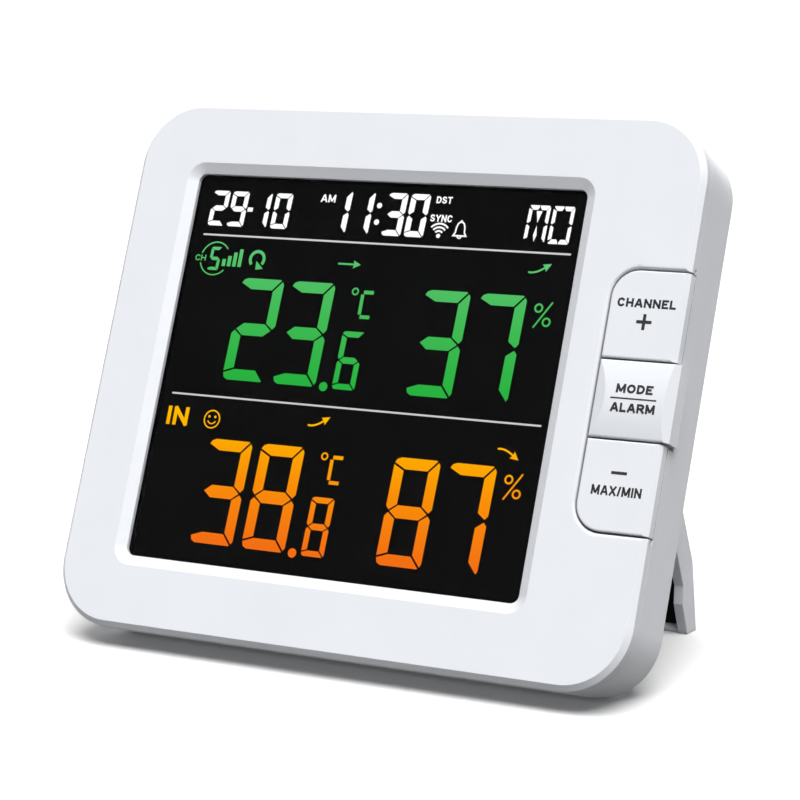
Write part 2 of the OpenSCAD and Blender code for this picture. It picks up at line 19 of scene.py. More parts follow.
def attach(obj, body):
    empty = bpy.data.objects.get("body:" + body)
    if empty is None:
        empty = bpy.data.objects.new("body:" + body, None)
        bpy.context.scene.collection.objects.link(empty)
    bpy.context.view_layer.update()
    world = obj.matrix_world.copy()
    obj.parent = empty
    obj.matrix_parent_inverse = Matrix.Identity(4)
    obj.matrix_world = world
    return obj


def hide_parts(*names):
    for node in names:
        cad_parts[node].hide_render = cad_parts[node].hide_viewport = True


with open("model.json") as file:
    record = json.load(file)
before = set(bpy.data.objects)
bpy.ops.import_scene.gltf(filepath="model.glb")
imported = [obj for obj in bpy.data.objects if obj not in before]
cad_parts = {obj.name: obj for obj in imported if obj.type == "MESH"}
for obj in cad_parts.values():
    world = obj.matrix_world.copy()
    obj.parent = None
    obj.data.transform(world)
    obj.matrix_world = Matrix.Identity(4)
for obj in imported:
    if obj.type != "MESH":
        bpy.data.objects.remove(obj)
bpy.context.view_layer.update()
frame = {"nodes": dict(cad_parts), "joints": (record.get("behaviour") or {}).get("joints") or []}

LOG = logging.getLogger("thermometer")
MM = 0.001                       # metres in a millimetre
WELD = 2e-6                      # corners nearer than this are one, in metres
SLIVER = 1e-6                    # faces thinner than this go, in metres
FLAT_ANGLE = 0.4                 # faces that meet below this angle are one, in degrees
CRISP_ANGLE = 9.0                # edges over this angle are shaded sharp, in degrees
EDGE_ANGLE = 28.0                # edges over this angle can be rounded, in degrees
NOISE_LOW, NOISE_HIGH = 0.3, 0.7  # the range that fractal noise keeps to, nearly all of the time

Colour = tuple[float, float, float]
Point = tuple[float, float]
Outline = list[Point]
Material = bpy.types.Material
Socket = bpy.types.NodeSocket
EdgeTest = Callable[[Vector], bool]
Row = Sequence[tuple[str, float]]


# ---- frame and meshes


@dataclass(frozen=True)
class CaseSpace:
    """The case's own upright frame, leaned back and placed in the row frame."""

    lean: float
    origin: Vector
    hinge_y: float = 24.4
    hinge_z: float = 17.3

    @classmethod
    def from_frame(cls) -> "CaseSpace":
        """Reads the lean from a key's slide and the origin from the stand's hinge.

        Returns:
            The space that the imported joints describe.
        """
        joints = {joint["name"]: joint for joint in frame["joints"]}
        inward = Vector(joints["key_mode_press"]["axis"])
        lean = math.atan2(-inward.z, inward.y)
        turn = Matrix.Rotation(-lean, 3, "X")
        hinge = Vector(joints["stand_hinge"]["pos_m"])
        local = Vector((0.0, cls.hinge_y * MM, cls.hinge_z * MM))
        return cls(lean, hinge - turn @ local)

    @property
    def turn(self) -> Matrix:
        """The rotation from the case's frame to the row's."""
        return Matrix.Rotation(-self.lean, 3, "X")

    def place(self, x: float, y: float, z: float) -> Vector:
        """Turns a point in the case's millimetres into the row's metres."""
        return self.origin + self.turn @ Vector((x, y, z)) * MM

    def local(self, point: Vector) -> Vector:
        """Turns a point in the row's metres into the case's millimetres."""
        return self.turn.transposed() @ (point - self.origin) / MM

    def node_box(self, node: str) -> tuple[Vector, Vector]:
        """Finds a CAD node's box in the case's frame.

        Args:
            node: The CAD node's name.

        Returns:
            Its lowest and highest corners, in millimetres.
        """
        points = [self.local(vertex.co) for vertex in frame["nodes"][node].data.vertices]
        low = Vector([min(point[i] for point in points) for i in range(3)])
        high = Vector([max(point[i] for point in points) for i in range(3)])
        return low, high


SPACE = CaseSpace.from_frame()


def new_object(name: str, mesh: bpy.types.Mesh, material: Material) -> bpy.types.Object:
    """Makes an object from a mesh and puts it in the scene.

    Args:
        name: The object's name.
        mesh: Its mesh.
        material: Its one material.

    Returns:
        The new object.
    """
    piece = bpy.data.objects.new(name, mesh)
    bpy.context.scene.collection.objects.link(piece)
    piece.data.materials.clear()
    piece.data.materials.append(material)
    return piece


def crisp(mesh: bpy.types.Mesh) -> None:
    """Shades a mesh smooth, with its sharper edges kept crisp."""
    mesh.polygons.foreach_set("use_smooth", [True] * len(mesh.polygons))
    mesh.set_sharp_from_angle(angle=math.radians(CRISP_ANGLE))


def cleaned(source: bpy.types.Mesh) -> bmesh.types.BMesh:
    """Copies a mesh with its flat faces joined and its slivers gone.

    Args:
        source: The mesh, which stays as it is.

    Returns:
        The copy, open for editing.
    """
    shape = bmesh.new()
    shape.from_mesh(source)
    bmesh.ops.remove_doubles(shape, verts=shape.verts, dist=WELD)
    bmesh.ops.dissolve_degenerate(shape, dist=SLIVER, edges=shape.edges)
    bmesh.ops.dissolve_limit(shape, angle_limit=math.radians(FLAT_ANGLE),
                             verts=shape.verts, edges=shape.edges)
    return shape


def rounded_edges(shape: bmesh.types.BMesh, width: float, steps: int,
                  where: Optional[EdgeTest]) -> None:
    """Rounds a mesh's sharp edges.

    Args:
        shape: The mesh, open for editing.
        width: Width of the rounding, in millimetres.
        steps: Steps across it.
        where: Says of an edge's middle, in the case's frame, whether that edge is rounded.
            Every edge is rounded without it, and only as far as the shortest one allows.
    """
    edges = [edge for edge in shape.edges
             if len(edge.link_faces) == 2 and edge.calc_face_angle(0.0) > math.radians(EDGE_ANGLE)
             and (where is None or where(SPACE.local((edge.verts[0].co + edge.verts[1].co) / 2)))]
    bmesh.ops.bevel(shape, geom=edges, offset=width * MM, segments=steps, profile=0.5,
                    affect="EDGES", clamp_overlap=where is None)


def moulded(node: str, material: Material, body: str = "case",
            rounding: float = 0.0, steps: int = 2, where: Optional[EdgeTest] = None) -> bpy.types.Object:
    """Stands a cleanly shaded copy in for a CAD node, with its edges rounded if asked.

    Args:
        node: The CAD node to stand for.
        material: The finish.
        body: The body that the piece rides on.
        rounding: Width of the rounding on its edges, in millimetres.
        steps: Steps across each rounding.
        where: Says which edges are rounded, as rounded_edges has it.

    Returns:
        The new piece.
    """
    mesh = frame["nodes"][node].data.copy()
    shape = cleaned(mesh)
    if rounding > 0:
        rounded_edges(shape, rounding, steps, where)
    shape.to_mesh(mesh)
    shape.free()
    piece = new_object(f"{node}_moulded", mesh, material)
    crisp(mesh)
    even = piece.modifiers.new("even_shading", "WEIGHTED_NORMAL")
    even.keep_sharp = True
    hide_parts(node)
    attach(piece, body)
    LOG.info("%s: %d faces", piece.name, len(mesh.polygons))
    return piece


def unit(x: float, y: float) -> Point:
    """Scales a flat vector to a length of one."""
    length = math.hypot(x, y) or 1.0
    return x / length, y / length


def extended(start: Point, end: Point, extra: float) -> Point:
    """Moves a line's end a little further along the line."""
    along = unit(end[0] - start[0], end[1] - start[1])
    return end[0] + along[0] * extra, end[1] + along[1] * extra


def inset(outline: Outline, amount: float) -> Outline:
    """Moves every edge of an anticlockwise convex outline inwards.

    Args:
        outline: The corners in order.
        amount: Distance to move each edge.

    Returns:
        The smaller outline.
    """
    result: Outline = []
    count = len(outline)
    for i in range(count):
        before, here, after = outline[i - 1], outline[i], outline[(i + 1) % count]
        first = unit(here[0] - before[0], here[1] - before[1])
        second = unit(after[0] - here[0], after[1] - here[1])
        normal_a = (-first[1], first[0])
        normal_b = (-second[1], second[0])
        share = 1.0 + normal_a[0] * normal_b[0] + normal_a[1] * normal_b[1]
        result.append((here[0] + amount * (normal_a[0] + normal_b[0]) / share,
                       here[1] + amount * (normal_a[1] + normal_b[1]) / share))
    return result


def arc(centre: Point, radius: float, start: float, end: float, steps: int) -> Outline:
    """Gives points along a circle's arc, with its angles in degrees."""
    angles = [math.radians(start + (end - start) * i / steps) for i in range(steps + 1)]
    return [(centre[0] + radius * math.cos(a), centre[1] + radius * math.sin(a)) for a in angles]


@dataclass(frozen=True)
class Letter:
    """A plain capital, drawn as strokes in a box one high and one wide."""

    width: float
    strokes: tuple[tuple[Point, ...], ...]


LETTERS = {
    "A": Letter(0.80, (((0, 0), (0.42, 1), (0.58, 1), (1, 0)), ((0.18, 0.28), (0.82, 0.28)))),
    "C": Letter(0.74, (((1, 0.74), (0.86, 0.92), (0.62, 1), (0.38, 1), (0.14, 0.88), (0, 0.64), (0, 0.36),
                        (0.14, 0.12), (0.38, 0), (0.62, 0), (0.86, 0.08), (1, 0.26)),)),
    "D": Letter(0.74, (((0.02, 0), (0.02, 1), (0.55, 1), (0.84, 0.88), (1, 0.64), (1, 0.36), (0.84, 0.12),
                        (0.55, 0), (0.02, 0)),)),
    "E": Letter(0.66, (((1, 1), (0, 1), (0, 0), (1, 0)), ((0, 0.52), (0.9, 0.52)))),
    "H": Letter(0.74, (((0, 0), (0, 1)), ((1, 0), (1, 1)), ((0, 0.5), (1, 0.5)))),
    "I": Letter(0.20, (((0.5, 0), (0.5, 1)),)),
    "L": Letter(0.62, (((0, 1), (0, 0), (1, 0)),)),
    "M": Letter(0.90, (((0, 0), (0, 1)), ((1, 0), (1, 1)), ((0.05, 1), (0.5, 0.05)),
                       ((0.95, 1), (0.5, 0.05)))),
    "N": Letter(0.76, (((0, 0), (0, 1)), ((1, 0), (1, 1)), ((0.03, 1), (0.97, 0)))),
    "O": Letter(0.80, (((0.5, 0), (0.2, 0.08), (0, 0.34), (0, 0.66), (0.2, 0.92), (0.5, 1), (0.8, 0.92),
                        (1, 0.66), (1, 0.34), (0.8, 0.08), (0.5, 0)),)),
    "R": Letter(0.74, (((0, 0), (0, 1), (0.64, 1), (0.92, 0.9), (1, 0.73), (0.92, 0.56), (0.64, 0.46),
                        (0, 0.46)), ((0.52, 0.46), (1, 0)))),
    "S": Letter(0.70, (((0.95, 0.76), (0.84, 0.93), (0.58, 1), (0.34, 1), (0.08, 0.9), (0.02, 0.74),
                        (0.14, 0.59), (0.62, 0.46), (0.94, 0.38), (1, 0.24), (0.9, 0.07), (0.64, 0),
                        (0.36, 0), (0.1, 0.07), (0, 0.26)),)),
    "T": Letter(0.68, (((0, 1), (1, 1)), ((0.5, 1), (0.5, 0)))),
    "X": Letter(0.74, (((0, 0), (1, 1)), ((0, 1), (1, 0)))),
    "Y": Letter(0.74, (((0, 1), (0.5, 0.44)), ((1, 1), (0.5, 0.44)), ((0.5, 0.44), (0.5, 0)))),
    "/": Letter(0.36, (((0, 0), (1, 1)),)),
}


class Artwork:
    """Flat printed or lit shapes, gathered into one thin mesh on a face."""

    letter_space = 0.13          # room between letters, as a share of their height
    disc_steps = 23
    ring_steps = 35
    sharpest = 0.5               # limits how far a corner's point runs out

    def __init__(self, depth: Callable[[float, float], float], thickness: float = 0.03,
                 shift_x: float = 0.0) -> None:
        """Starts an empty sheet.

        Args:
            depth: Gives the Y of the face at an X and Z.
            thickness: How far the shapes stand in front of that.
            shift_x: How far right of the case's middle the shapes' own zero lies.
        """
        self.depth = depth
        self.thickness = thickness
        self.shift_x = shift_x
        self.shape = bmesh.new()

    def _vertex(self, x: float, z: float, proud: float) -> bmesh.types.BMVert:
        """Adds a corner at a distance in front of the face."""
        return self.shape.verts.new(SPACE.place(x + self.shift_x, self.depth(x, z) - proud, z))

    def polygon(self, outline: Outline) -> None:
        """Adds a filled shape with straight sides.

        Args:
            outline: Its corners, anticlockwise.
        """
        front = [self._vertex(x, z, self.thickness) for x, z in outline]
        back = [self._vertex(x, z, 0.0) for x, z in outline]
        self.shape.faces.new(front)
        self.shape.faces.new(back[::-1])
        for i in range(len(outline)):
            j = (i + 1) % len(outline)
            self.shape.faces.new((front[j], front[i], back[i], back[j]))

    def ribbon(self, path: Outline, width: float, closed: bool = False) -> None:
        """Adds a line of even width along a path.

        Args:
            path: The points of its middle.
            width: Its width.
            closed: Whether the last point joins the first.
        """
        count = len(path)
        rows: list[tuple[Point, Point]] = []
        for i, (x, z) in enumerate(path):
            before = path[i - 1] if closed or i > 0 else path[i]
            after = path[(i + 1) % count] if closed or i < count - 1 else path[i]
            first = unit(x - before[0], z - before[1]) if before != path[i] else None
            second = unit(after[0] - x, after[1] - z) if after != path[i] else None
            first = first or second
            second = second or first
            mitre = unit(first[0] + second[0], first[1] + second[1])
            stretch = max(self.sharpest, mitre[0] * first[0] + mitre[1] * first[1])
            half = width / 2 / stretch
            rows.append(((x - mitre[1] * half, z + mitre[0] * half),
                         (x + mitre[1] * half, z - mitre[0] * half)))
        corners = [[self._vertex(*left, self.thickness), self._vertex(*right, self.thickness),
                    self._vertex(*right, 0.0), self._vertex(*left, 0.0)] for left, right in rows]
        for i in range(count if closed else count - 1):
            here, there = corners[i], corners[(i + 1) % count]
            for k in range(4):
                m = (k + 1) % 4
                self.shape.faces.new((here[k], here[m], there[m], there[k]))
        if not closed:
            self.shape.faces.new(corners[0][::-1])
            self.shape.faces.new(corners[-1])

    def disc(self, centre: Point, radius: float) -> None:
        """Adds a filled circle."""
        self.polygon(self._circle(centre, radius, self.disc_steps))

    def ring(self, centre: Point, radius: float, width: float) -> None:
        """Adds a circle's line, with its radius to the middle of the line."""
        self.ribbon(self._circle(centre, radius, self.ring_steps), width, closed=True)

    @staticmethod
    def _circle(centre: Point, radius: float, steps: int) -> Outline:
        """Gives a circle's points, one more than the steps, without the first again."""
        return arc(centre, radius, 0, 360 * steps / (steps + 1), steps)

    def words(self, text: str, low: Point, high: Point, weight: float) -> None:
        """Adds lettering that fills a box.

        Args:
            text: The capitals.
            low: The box's lower left corner.
            high: The box's upper right corner.
            weight: Thickness of the strokes, as a share of the letters' height.
        """
        tall = high[1] - low[1]
        stroke = weight * tall
        natural = sum(LETTERS[mark].width for mark in text) + self.letter_space * (len(text) - 1)
        scale = (high[0] - low[0]) / natural
        x = low[0]
        for mark in text:
            letter = LETTERS[mark]
            wide = letter.width * scale
            for path in letter.strokes:
                points = [(x + stroke / 2 + px * max(0.0, wide - stroke),
                           low[1] + stroke / 2 + pz * (tall - stroke)) for px, pz in path]
                if path[0] == path[-1]:
                    self.ribbon(points[:-1], stroke, closed=True)
                    continue
                first, last = points[0], points[-1]
                if path[0][1] in (0, 1):
                    first = extended(points[1], first, stroke / 2)
                if path[-1][1] in (0, 1):
                    last = extended(points[-2], last, stroke / 2)
                self.ribbon([first, *points[1:-1], last], stroke)
            x += wide + self.letter_space * scale

    def finish(self, name: str, material: Material, slot: str, body: str) -> bpy.types.Object:
        """Turns the sheet into a piece that rides on a body.

        Args:
            name: The piece's name.
            material: Its finish.
            slot: The record's material slot; not used.
            body: The body that it rides on.

        Returns:
            The new piece.
        """
        bmesh.ops.recalc_face_normals(self.shape, faces=self.shape.faces)
        mesh = bpy.data.meshes.new(name)
        self.shape.to_mesh(mesh)
        self.shape.free()
        piece = new_object(name, mesh, material)
        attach(piece, body)
        LOG.info("%s: %d faces", name, len(mesh.polygons))
        return piece


# ---- finishes


class Nodes:
    """A material's node tree, with short ways to add and join nodes."""

    def __init__(self, name: str) -> None:
        """Makes an empty material with a surface shader.

        Args:
            name: The material's name.
        """
        self.material = bpy.data.materials.new(name)
        self.material.use_nodes = True
        self.tree = self.material.node_tree
        self.shader = next(node for node in self.tree.nodes if node.type == "BSDF_PRINCIPLED")

    def add(self, kind: str, **values: object) -> bpy.types.Node:
        """Adds a node.

        Args:
            kind: The node's type.
            values: Its fields.

        Returns:
            The node.
        """
        node = self.tree.nodes.new(kind)
        for key, value in values.items():
            setattr(node, key, value)
        return node

    def join(self, source: Socket, target: Socket) -> None:
        """Links one socket to another."""
        self.tree.links.new(source, target)

    def drive(self, name: str, source: Socket) -> None:
        """Links a socket to one of the surface shader's."""
        self.join(source, self.shader.inputs[name])

    def set(self, **values: object) -> None:
        """Sets the surface shader's sockets by name, with _ for a space."""
        for key, value in values.items():
            self.shader.inputs[key.replace("_", " ")].default_value = value

    def position(self) -> Socket:
        """Gives the place on the object, in metres."""
        return self.add("ShaderNodeTexCoord").outputs["Object"]

    def noise(self, scale: float, detail: float = 2.0) -> Socket:
        """Adds fractal noise.

        Args:
            scale: Cells a metre.
            detail: Number of finer layers.

        Returns:
            The noise, from 0 to 1.
        """
        node = self.add("ShaderNodeTexNoise")
        node.inputs["Scale"].default_value = scale
        node.inputs["Detail"].default_value = detail
        self.join(self.position(), node.inputs["Vector"])
        return node.outputs["Fac"]

    def ramp(self, source: Socket, stops: Sequence[tuple[float, Colour]]) -> Socket:
        """Turns a number into a colour.

        Args:
            source: The number.
            stops: Numbers and the colours that they give.

        Returns:
            The colour.
        """
        node = self.add("ShaderNodeValToRGB")
        elements = node.color_ramp.elements
        while len(elements) < len(stops):
            elements.new(0.5)
        for element, (place, colour) in zip(elements, stops):
            element.position = place
            element.color = (*colour, 1.0)
        self.join(source, node.inputs["Fac"])
        return node.outputs["Color"]

    def spread(self, source: Socket, low: float, high: float, to_low: float, to_high: float) -> Socket:
        """Maps one range of numbers to another.

        Args:
            source: The number.
            low: Start of its range.
            high: End of its range.
            to_low: What the start becomes.
            to_high: What the end becomes.

        Returns:
            The new number.
        """
        node = self.add("ShaderNodeMapRange")
        for key, value in zip(("From Min", "From Max", "To Min", "To Max"), (low, high, to_low, to_high)):
            node.inputs[key].default_value = value
        self.join(source, node.inputs["Value"])
        return node.outputs["Result"]

    def tinted(self, source: Socket, colour: Colour, low: float, high: float) -> Socket:
        """Varies a colour's brightness with noise, between two factors."""
        return self.ramp(source, [(NOISE_LOW, shade(colour, low)), (NOISE_HIGH, shade(colour, high))])

    def varied(self, source: Socket, low: float, high: float) -> Socket:
        """Turns noise into a number between two others."""
        return self.spread(source, NOISE_LOW, NOISE_HIGH, low, high)

    def bump(self, height: Socket, distance: float, strength: float = 1.0,
             base: Optional[Socket] = None) -> None:
        """Raises the surface by a height map.

        Args:
            height: The map.
            distance: Its full height in metres.
            strength: Share of the effect.
            base: The surface direction to start from, if not the mesh's own.
        """
        node = self.add("ShaderNodeBump")
        node.inputs["Distance"].default_value = distance
        node.inputs["Strength"].default_value = strength
        self.join(height, node.inputs["Height"])
        if base is not None:
            self.join(base, node.inputs["Normal"])
        self.drive("Normal", node.outputs["Normal"])


def shade(colour: Colour, factor: float) -> Colour:
    """Makes a colour darker or lighter by a factor."""
    return tuple(min(1.0, max(0.0, part * factor)) for part in colour)


class Finish:
    """A surface finish, made as one material."""

    name: str

    def material(self) -> Material:
        """Builds the finish.

        Returns:
            Its material.
        """
        nodes = Nodes(self.name)
        self.dress(nodes)
        return nodes.material

    def dress(self, nodes: Nodes) -> None:
        """Sets the shader of an empty material, which each finish does in its own way."""
        raise NotImplementedError


@dataclass(frozen=True)
class MouldedPlastic(Finish):
    """Injection-moulded plastic with a fine spark-eroded grain, and shade painted into its grooves and
    gaps.

    The grain's height, the edges' rounding and the reach of the painted shade in crevices are in
    millimetres.
    """

    name: str
    colour: Colour
    roughness: float = 0.42
    unevenness: float = 0.04
    grain: float = 0.006
    grain_scale: float = 2600.0
    mottle: float = 0.012
    mottle_scale: float = 90.0
    edge: float = 0.22
    crevice: float = 1.3
    # strength and colour of the shade painted into grooves and gaps
    crevice_shade: float = 0.45
    crevice_shade_colour: Colour = (0.10, 0.10, 0.105)

    def dress(self, nodes: Nodes) -> None:
        """Sets the shader.

        Args:
            nodes: The empty material.
        """
        tint = nodes.tinted(nodes.noise(self.mottle_scale, 4.0), self.colour,
                            1.0 - self.mottle, 1.0 + self.mottle)
        # painted shade in grooves and gaps
        if self.crevice_shade > 0:
            tint = self.painted_crevice_shade(nodes, tint)
        nodes.drive("Base Color", tint)
        fine = nodes.noise(self.grain_scale, 3.0)
        nodes.drive("Roughness", nodes.varied(fine, self.roughness - self.unevenness,
                                              self.roughness + self.unevenness))
        rounded = None
        if self.edge > 0:
            bevel = nodes.add("ShaderNodeBevel", samples=4)
            bevel.inputs["Radius"].default_value = self.edge * MM
            rounded = bevel.outputs["Normal"]
        nodes.bump(fine, self.grain * MM, base=rounded)

    def painted_crevice_shade(self, nodes: Nodes, tint: Socket) -> Socket:
        """Paints shade into the plastic's colour in grooves and gaps, where ambient occlusion finds the
        surface hemmed in.

        Args:
            nodes: The finish being built.
            tint: The clean colour.

        Returns:
            The colour with the painted shade on it.
        """
        # painted shade: ambient occlusion darkens the colour in grooves, gaps and corners
        hollow = nodes.add("ShaderNodeAmbientOcclusion", samples=8)
        hollow.inputs["Distance"].default_value = self.crevice * MM
        layer = nodes.add("ShaderNodeMix", data_type="RGBA", blend_type="MULTIPLY")
        share, clean, shade_colour_input = (layer.inputs[i] for i in (0, 6, 7))   # the sockets for colours
        nodes.join(nodes.spread(hollow.outputs["AO"], 0.15, 0.85, self.crevice_shade, 0.0), share)
        nodes.join(tint, clean)
        shade_colour_input.default_value = (*self.crevice_shade_colour, 1.0)
        return layer.outputs[2]


@dataclass(frozen=True)
class ClearLens(Finish):
    """Thin clear acrylic with a low-glare front."""

    name: str = "clear_lens"

    def dress(self, nodes: Nodes) -> None:
        """Sets the shader."""
        nodes.set(Base_Color=(0.985, 0.99, 0.99, 1.0), Transmission_Weight=1.0, IOR=1.08)
        nodes.drive("Roughness", nodes.varied(nodes.noise(140.0, 3.0), 0.0, 0.025))


@dataclass(frozen=True)
class DisplayGround(Finish):
    """The unlit black ground of a negative display, with its faint cell grid."""

    name: str = "display_ground"
    glow: Colour = (0.0032, 0.0032, 0.0033)

    def dress(self, nodes: Nodes) -> None:
        """Sets the shader.

        Args:
            nodes: The empty material.
        """
        nodes.drive("Emission Color", nodes.tinted(nodes.noise(420.0, 1.0), self.glow, 0.94, 1.06))
        nodes.set(Base_Color=(0.002, 0.002, 0.002, 1.0), Roughness=0.6, Specular_IOR_Level=0.0,
                  Emission_Strength=1.0)


@dataclass(frozen=True)
class LitArtwork(Finish):
    """Display artwork lit from behind, blending from a top colour down to a lower one."""

    name: str
    stops: tuple[tuple[float, Colour], ...]
    low_z: float
    high_z: float
    strength: float = 1.06

    def dress(self, nodes: Nodes) -> None:
        """Sets the shader, with the blend running up the display.

        Args:
            nodes: The empty material.
        """
        split = nodes.add("ShaderNodeSeparateXYZ")
        nodes.join(nodes.position(), split.inputs[0])
        low = SPACE.place(0.0, 0.0, self.low_z).z
        high = SPACE.place(0.0, 0.0, self.high_z).z
        height = nodes.spread(split.outputs["Z"], low, high, 0.0, 1.0)
        nodes.drive("Emission Color", nodes.ramp(height, self.stops))
        nodes.set(Base_Color=(0.0, 0.0, 0.0, 1.0), Roughness=1.0, Specular_IOR_Level=0.0,
                  Emission_Strength=self.strength)


@dataclass(frozen=True)
class Metal(Finish):
    """Plated or drawn metal with fine scratches."""

    name: str
    colour: Colour
    roughness: float

    def dress(self, nodes: Nodes) -> None:
        """Sets the shader.

        Args:
            nodes: The empty material.
        """
        scratch = nodes.noise(1400.0, 3.0)
        nodes.drive("Roughness", nodes.varied(scratch, self.roughness * 0.7, self.roughness * 1.4))
        nodes.drive("Base Color", nodes.tinted(scratch, self.colour, 0.94, 1.05))
        nodes.set(Metallic=1.0)


@dataclass(frozen=True)
class FoamAndPaintedShade(Finish):
    """Closed-cell black foam sheet, also laid inside the stand as a black pad that stands in for shade.
    """

    name: str = "black_foam_and_painted_shade"
    colour: Colour = (0.006, 0.006, 0.0065)
    pore_scale: float = 2200.0
    pore_depth: float = 0.06

    def dress(self, nodes: Nodes) -> None:
        """Sets the shader, with small open pores.

        Args:
            nodes: The empty material.
        """
        pores = nodes.add("ShaderNodeTexVoronoi")
        pores.inputs["Scale"].default_value = self.pore_scale
        nodes.join(nodes.position(), pores.inputs["Vector"])
        depth = pores.outputs["Distance"]
        nodes.drive("Base Color", nodes.ramp(depth, [(0.0, shade(self.colour, 0.5)), (0.6, self.colour)]))
        nodes.set(Roughness=0.95, Specular_IOR_Level=0.15)
        nodes.bump(depth, self.pore_depth * MM, 0.6)


@dataclass(frozen=True)
class CircuitBoard(Finish):
    """Green solder mask with copper tracks showing through."""

    name: str = "circuit_board"
    mask: Colour = (0.012, 0.11, 0.045)
    thin_mask: Colour = (0.018, 0.15, 0.06)
    track: Colour = (0.03, 0.22, 0.09)

    def dress(self, nodes: Nodes) -> None:
        """Sets the shader.

        Args:
            nodes: The empty material.
        """
        tracks = nodes.add("ShaderNodeTexBrick")
        tracks.inputs["Scale"].default_value = 260.0
        for socket, colour in (("Color1", self.mask), ("Color2", self.thin_mask), ("Mortar", self.track)):
            tracks.inputs[socket].default_value = (*colour, 1.0)
        nodes.join(nodes.position(), tracks.inputs["Vector"])
        nodes.drive("Base Color", tracks.outputs["Color"])
        nodes.drive("Roughness", nodes.varied(nodes.noise(900.0), 0.28, 0.4))


@dataclass(frozen=True)
class Finishes:
    """Every finish of the thermometer, made once."""

    shell: Material
    keys: Material
    ink: Material
    lens: Material
    ground: Material
    white: Material
    grey: Material
    green: Material
    amber: Material
    steel: Material
    nickel: Material
    copper: Material
    black: Material
    bracket: Material
    guide: Material
    rubber: Material
    phosphor: Material
    wrap: Material
    board: Material
    foam_and_painted_shade: Material

    @classmethod
    def make(cls) -> "Finishes":
        """Builds each finish in its own colour.

        Returns:
            The finishes.
        """
        white = (0.80, 0.82, 0.86)
        finishes = dict(
            shell=MouldedPlastic("shell_plastic", white),
            keys=MouldedPlastic("key_plastic", white, roughness=0.36, grain=0.004),
            ink=MouldedPlastic("legend_ink", (0.014, 0.014, 0.015), roughness=0.6, grain=0.002,
                               edge=0.0, crevice_shade=0.0),
            lens=ClearLens(),
            ground=DisplayGround(),
            white=LitArtwork("lit_white", ((0.0, (0.98, 0.98, 0.98)), (1.0, (1.0, 1.0, 1.0))), 30, 44),
            grey=LitArtwork("lit_grey", ((0.0, (0.58, 0.58, 0.56)), (1.0, (0.62, 0.62, 0.60))), -8, 33),
            green=LitArtwork("lit_green", ((0.0, (0.02, 0.42, 0.048)), (0.5, (0.05, 0.47, 0.085)),
                                           (0.9, (0.09, 0.51, 0.14)), (1.0, (0.11, 0.55, 0.18))),
                             -3, 28),
            amber=LitArtwork("lit_amber", ((0.0, (0.85, 0.15, 0.006)), (0.5, (0.91, 0.26, 0.002)),
                                           (0.85, (0.94, 0.39, 0.0)), (1.0, (1.0, 0.48, 0.0))),
                             -41, -12),
            steel=Metal("zinc_steel", (0.60, 0.61, 0.63), 0.3),
            nickel=Metal("nickel_plate", (0.72, 0.70, 0.66), 0.18),
            copper=Metal("copper_wire", (0.75, 0.33, 0.14), 0.25),
            black=MouldedPlastic("black_epoxy", (0.018, 0.018, 0.02), roughness=0.5),
            bracket=MouldedPlastic("bracket_plastic", (0.68, 0.69, 0.70), roughness=0.55),
            guide=MouldedPlastic("light_guide", (0.74, 0.78, 0.82), roughness=0.2, grain=0.002),
            rubber=MouldedPlastic("contact_rubber", (0.42, 0.12, 0.16), roughness=0.7),
            phosphor=MouldedPlastic("phosphor", (0.75, 0.66, 0.18), roughness=0.5),
            wrap=MouldedPlastic("cell_wrap", (0.03, 0.06, 0.22), roughness=0.25, grain=0.002),
            board=CircuitBoard(),
            # black foam for the lens tape, and the stand's black pad as painted shade
            foam_and_painted_shade=FoamAndPaintedShade(),
        )
        return cls(**{name: finish.material() for name, finish in finishes.items()})


# ---- display


class Segment(Enum):
    """The seven bars of a digit."""

    TOP = "a"
    UPPER_RIGHT = "b"
    LOWER_RIGHT = "c"
    BOTTOM = "d"
    LOWER_LEFT = "e"
    UPPER_LEFT = "f"
    MIDDLE = "g"


DIGITS = {"0": "abcdef", "1": "bc", "2": "abged", "3": "abgcd", "4": "fgbc", "5": "afgcd",
          "6": "afgedc", "7": "abc", "8": "abcdefg", "9": "abcdfg"}


